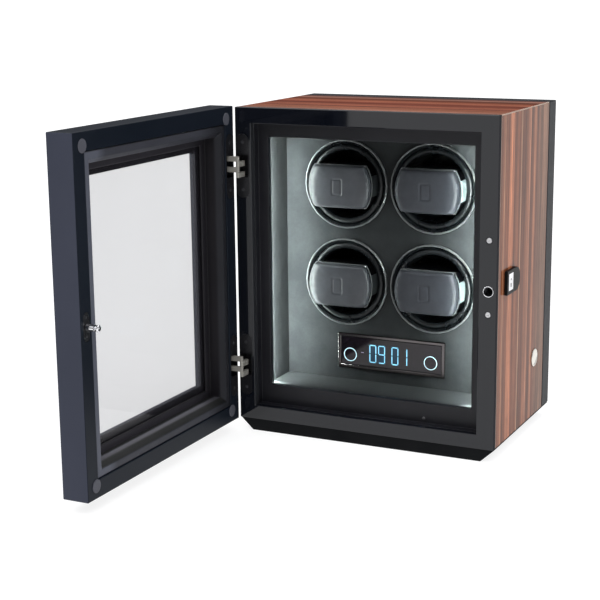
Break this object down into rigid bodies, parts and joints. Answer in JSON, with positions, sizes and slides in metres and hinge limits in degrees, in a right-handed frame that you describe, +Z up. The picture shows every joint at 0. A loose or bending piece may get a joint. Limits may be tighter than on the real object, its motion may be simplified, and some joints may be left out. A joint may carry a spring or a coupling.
{
  "type": "watch winder box",
  "caption": "Free-standing watch winder cabinet with a hinged glazed door, turning drum rotors with pull-out watch pillows, a touch display and a pin lock.",
  "frame": {"origin": "centre of the underside of the base", "axes": "+X to the right seen from the front, +Y from the front to the back, +Z up; the door stands open at a right angle on the left"},
  "size_m": [0.2862, 0.4319, 0.313],
  "materials": {
    "gloss_black": "black piano lacquer over fibreboard",
    "satin_black": "satin black lacquer over fibreboard",
    "ebony_veneer": "striped ebony veneer under clear gloss lacquer",
    "grey_suede": "grey microfibre suede over board",
    "black_abs": "glossy black moulded plastic",
    "black_leather": "dark satin synthetic leather over foam",
    "chrome_trim": "polished chrome plating",
    "nickel_links": "satin nickel plating",
    "black_zinc": "black coated zinc casting",
    "steel": "plain brushed steel",
    "clear_glass": "clear flat glass",
    "display_glass": "black tinted glass over the display",
    "circuit_green": "circuit board",
    "badge_metal": "pale champagne anodised metal",
    "rubber_dot": "soft grey-black rubber",
    "led_diffuser": "milky diffuser",
    "mount_board": "plain fibreboard"
  },
  "bodies": {
    "cabinet": {"front_frame": "gloss_black", "rear_cover": "gloss_black", "base_plinth": "gloss_black", "bottom_panel": "satin_black", "inner_frame": "satin_black", "top_panel": "ebony_veneer", "left_panel": "ebony_veneer", "right_panel": "ebony_veneer", "interior_liner": "grey_suede", "rotor_panel": "grey_suede", "power_inlet": "black_abs", "reader_housing": "black_abs", "display_bezel": "chrome_trim", "lock_ferrule": "chrome_trim", "reader_plate": "chrome_trim", "lock_case": "black_zinc", "hinge_cup_cabinet_upper": "black_zinc", "hinge_cup_cabinet_lower": "black_zinc", "frame_disc_upper": "steel", "frame_disc_lower": "steel", "rotor_motor_1": "steel", "rotor_motor_2": "steel", "rotor_motor_3": "steel", "rotor_motor_4": "steel", "display_window": "display_glass", "control_board": "circuit_green", "side_badge": "badge_metal", "light_strip_left": "led_diffuser", "light_strip_right": "led_diffuser", "motor_board": "mount_board"},
    "door": {"door_frame": "gloss_black", "door_trim": "satin_black", "strike_pin": "chrome_trim", "strike_plate": "black_zinc", "hinge_cup_door_upper": "black_zinc", "hinge_cup_door_lower": "black_zinc", "door_glass": "clear_glass", "door_bumper_hinge_top": "rubber_dot", "door_bumper_hinge_bottom": "rubber_dot", "door_bumper_free_top": "rubber_dot", "door_bumper_free_bottom": "rubber_dot"},
    "hinge_links_upper": {"hinge_link_upper": "nickel_links"},
    "hinge_links_lower": {"hinge_link_lower": "nickel_links"},
    "lock_bolt": {"lock_bolt": "steel"},
    "rotor_1": {"rotor_cup_1": "black_abs", "rotor_ring_1": "chrome_trim", "rotor_shaft_1": "steel"},
    "pillow_1": {"watch_pillow_1": "black_leather"},
    "rotor_2": {"rotor_cup_2": "black_abs", "rotor_ring_2": "chrome_trim", "rotor_shaft_2": "steel"},
    "pillow_2": {"watch_pillow_2": "black_leather"},
    "rotor_3": {"rotor_cup_3": "black_abs", "rotor_ring_3": "chrome_trim", "rotor_shaft_3": "steel"},
    "pillow_3": {"watch_pillow_3": "black_leather"},
    "rotor_4": {"rotor_cup_4": "black_abs", "rotor_ring_4": "chrome_trim", "rotor_shaft_4": "steel"},
    "pillow_4": {"watch_pillow_4": "black_leather"}
  },
  "joints": [
    {"name": "door_hinge", "type": "hinge", "parent": "cabinet", "child": "door", "pos_m": [-0.1295, -0.0865, 0.162], "axis": [0, 0, 1], "range_deg": [-25, 90]},
    {"name": "hinge_link_upper_turn", "type": "hinge", "parent": "cabinet", "child": "hinge_links_upper", "pos_m": [-0.1295, -0.0865, 0.2572], "axis": [0, 0, 1], "range_deg": [-12.6, 45.1]},
    {"name": "hinge_link_lower_turn", "type": "hinge", "parent": "cabinet", "child": "hinge_links_lower", "pos_m": [-0.1295, -0.0865, 0.0655], "axis": [0, 0, 1], "range_deg": [-12.6, 45.1]},
    {"name": "lock_bolt_slide", "type": "slide", "parent": "cabinet", "child": "lock_bolt", "axis": [0, 0, -1], "range_m": [0, 0.0026]},
    {"name": "rotor_1_spin", "type": "hinge", "parent": "cabinet", "child": "rotor_1", "pos_m": [-0.0443, -0.019, 0.2356], "axis": [0, -1, 0], "continuous": true},
    {"name": "rotor_2_spin", "type": "hinge", "parent": "cabinet", "child": "rotor_2", "pos_m": [0.0443, -0.019, 0.2356], "axis": [0, -1, 0], "continuous": true},
    {"name": "rotor_3_spin", "type": "hinge", "parent": "cabinet", "child": "rotor_3", "pos_m": [-0.0443, -0.019, 0.1405], "axis": [0, -1, 0], "continuous": true},
    {"name": "rotor_4_spin", "type": "hinge", "parent": "cabinet", "child": "rotor_4", "pos_m": [0.0443, -0.019, 0.1405], "axis": [0, -1, 0], "continuous": true},
    {"name": "pillow_1_pull", "type": "slide", "parent": "rotor_1", "child": "pillow_1", "axis": [0, -1, 0], "range_m": [0, 0.045]},
    {"name": "pillow_2_pull", "type": "slide", "parent": "rotor_2", "child": "pillow_2", "axis": [0, -1, 0], "range_m": [0, 0.045]},
    {"name": "pillow_3_pull", "type": "slide", "parent": "rotor_3", "child": "pillow_3", "axis": [0, -1, 0], "range_m": [0, 0.045]},
    {"name": "pillow_4_pull", "type": "slide", "parent": "rotor_4", "child": "pillow_4", "axis": [0, -1, 0], "range_m": [0, 0.045]}
  ],
  "couplings": [
    {"joint": "hinge_link_upper_turn", "follows": "door_hinge", "ratio": 0.5},
    {"joint": "hinge_link_lower_turn", "follows": "door_hinge", "ratio": 0.5}
  ]
}
